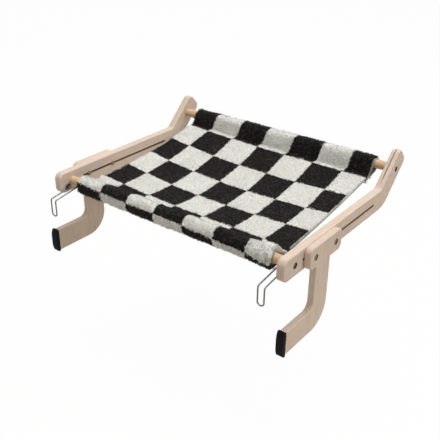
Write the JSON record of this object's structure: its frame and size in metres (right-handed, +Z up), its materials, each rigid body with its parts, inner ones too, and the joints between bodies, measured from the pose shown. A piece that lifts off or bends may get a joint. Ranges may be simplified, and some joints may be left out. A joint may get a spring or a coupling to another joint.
{
  "type": "cat radiator hammock",
  "caption": "Hammock bed for a cat: plush sling on two dowels between bent wooden arms, with wire hooks for a radiator's edge and padded sliding legs that brace it.",
  "frame": {"origin": "midway between the two hooks, where the undersides of their wires rest on the radiator's edge", "axes": "+X along the dowels from the left arm to the right one, +Y out from the radiator into the room, +Z up"},
  "size_m": [0.6256, 0.5031, 0.2568],
  "materials": {
    "birch": "pale birch, sanded, clear matt lacquer",
    "dowel_wood": "smooth turned hardwood",
    "dark_steel": "black oxide",
    "zinc_steel": "yellowish zinc plate",
    "wire_steel": "bright drawn wire",
    "pad_rubber": "matt moulded rubber",
    "plush": "short curly pile, black and white check",
    "canvas": "plain weave, grey-green"
  },
  "bodies": {
    "frame": {"arm_left": "birch", "arm_right": "birch", "front_dowel": "dowel_wood", "back_dowel": "dowel_wood", "dowel_screws_left": "dark_steel", "dowel_screws_right": "dark_steel", "hook_screw_left": "zinc_steel", "hook_screw_right": "zinc_steel", "hook_washer_left": "dark_steel", "hook_washer_right": "dark_steel", "sling_plush": "plush", "sling_canvas": "canvas", "binding_left": "canvas", "binding_right": "canvas"},
    "leg_assembly_left": {"leg_left": "birch", "pad_left": "pad_rubber", "leg_bolts_left": "dark_steel", "leg_washers_left": "zinc_steel", "leg_nuts_left": "zinc_steel"},
    "leg_assembly_right": {"leg_right": "birch", "pad_right": "pad_rubber", "leg_bolts_right": "dark_steel", "leg_washers_right": "zinc_steel", "leg_nuts_right": "zinc_steel"},
    "wire_hook_left": {"hook_left": "wire_steel"},
    "wire_hook_right": {"hook_right": "wire_steel"}
  },
  "joints": [
    {"name": "leg_slide_left", "type": "slide", "parent": "frame", "child": "leg_assembly_left", "axis": [0, 1, 0], "range_m": [-0.02, 0.18]},
    {"name": "leg_slide_right", "type": "slide", "parent": "frame", "child": "leg_assembly_right", "axis": [0, 1, 0], "range_m": [-0.02, 0.18]},
    {"name": "hook_swing_left", "type": "hinge", "parent": "frame", "child": "wire_hook_left", "pos_m": [0, 0.03352, 0.01152], "axis": [-1, 0, 0], "range_deg": [0, 100]},
    {"name": "hook_swing_right", "type": "hinge", "parent": "frame", "child": "wire_hook_right", "pos_m": [0, 0.03352, 0.01152], "axis": [-1, 0, 0], "range_deg": [0, 100]}
  ]
}
